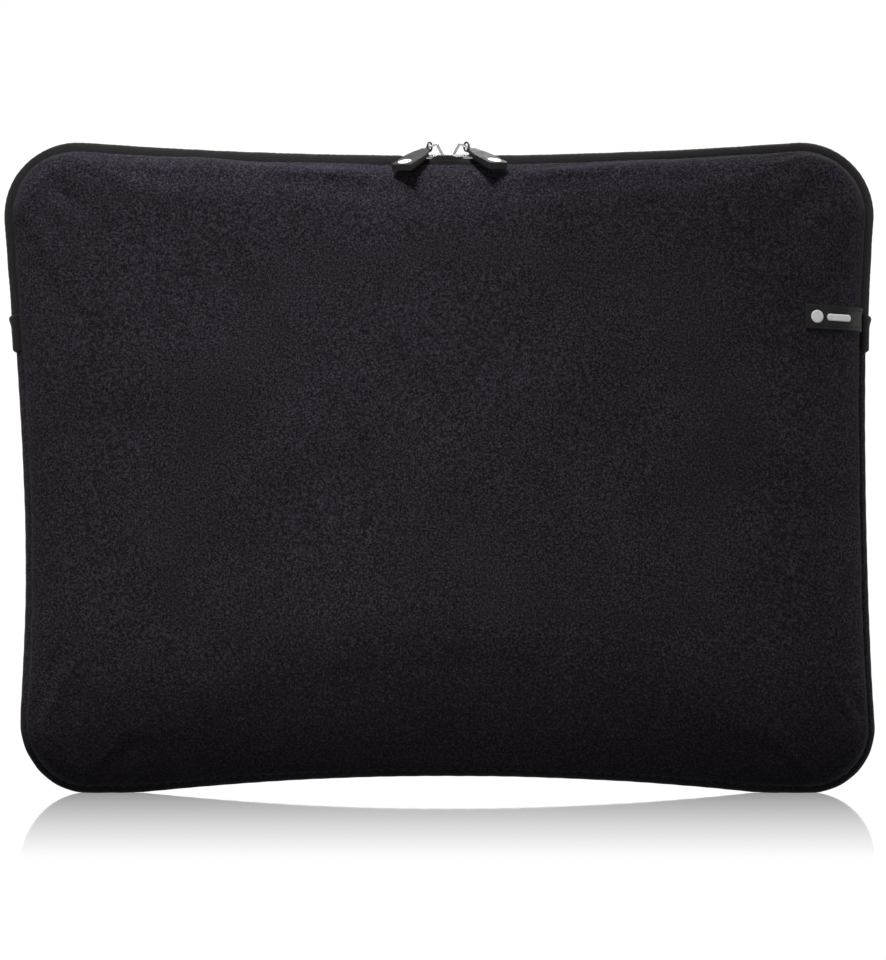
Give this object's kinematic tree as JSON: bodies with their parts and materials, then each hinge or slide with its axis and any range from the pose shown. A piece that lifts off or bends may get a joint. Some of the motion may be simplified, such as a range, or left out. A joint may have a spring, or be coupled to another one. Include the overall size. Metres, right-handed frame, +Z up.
{
  "type": "laptop sleeve",
  "caption": "Padded soft sleeve with rolled edges for a slim laptop; a curved zip with head-to-head sliders and flat rubber pulls closes its top.",
  "frame": {"origin": "middle of the sleeve's footprint, on the surface it stands on; Y = 0 is the middle of its thickness", "axes": "+X along the width, to the right as seen from the front; +Y from the front face to the back face; +Z up, towards the zip"},
  "size_m": [0.3504, 0.0389, 0.2646],
  "materials": {
    "neoprene": "matte knit",
    "plush_lining": "brushed plush",
    "woven_tape": "woven",
    "nylon_coil": "satin",
    "moulded_label": "satin",
    "white_mark": "satin",
    "bright_metal": "polished nickel",
    "black_metal": "satin",
    "black_rubber": "satin"
  },
  "bodies": {
    "sleeve": {"front_panel": "neoprene", "back_panel": "neoprene", "front_lining": "plush_lining", "back_lining": "plush_lining", "bottom_gusset": "neoprene", "gusset_lining": "plush_lining", "front_seam_binding": "woven_tape", "back_seam_binding": "woven_tape", "zip_tape_front": "woven_tape", "zip_tape_back": "woven_tape", "zip_coil_front": "nylon_coil", "zip_coil_back": "nylon_coil", "zip_end_tab_left": "woven_tape", "zip_end_tab_right": "woven_tape", "side_label": "moulded_label", "label_mark_dot": "white_mark", "label_mark_bar": "white_mark"},
    "slider_left": {"slider_left": "bright_metal"},
    "pull_left": {"pull_left_link": "black_metal", "pull_left_grip": "black_rubber", "pull_left_dot": "white_mark"},
    "slider_right": {"slider_right": "bright_metal"},
    "pull_right": {"pull_right_link": "black_metal", "pull_right_grip": "black_rubber", "pull_right_dot": "white_mark"}
  },
  "joints": [
    {"name": "slider_left_travel", "type": "hinge", "parent": "sleeve", "child": "slider_left", "pos_m": [0, 0, 2.2578], "axis": [0, 1, 0], "range_deg": [0, 3.8], "deforming": ["zip_coil_front", "zip_coil_back", "zip_tape_front", "zip_tape_back"]},
    {"name": "slider_right_travel", "type": "hinge", "parent": "sleeve", "child": "slider_right", "pos_m": [0, 0, 2.2578], "axis": [0, -1, 0], "range_deg": [0, 3.62], "deforming": ["zip_coil_front", "zip_coil_back", "zip_tape_front", "zip_tape_back"]},
    {"name": "pull_left_swing", "type": "hinge", "parent": "slider_left", "child": "pull_left", "pos_m": [-0.0045, 0, 0.26238], "axis": [-1, 0, 0], "range_deg": [0, 205]},
    {"name": "pull_right_swing", "type": "hinge", "parent": "slider_right", "child": "pull_right", "pos_m": [0.0105, 0, 0.2624], "axis": [-1, 0, 0], "range_deg": [0, 205]}
  ]
}
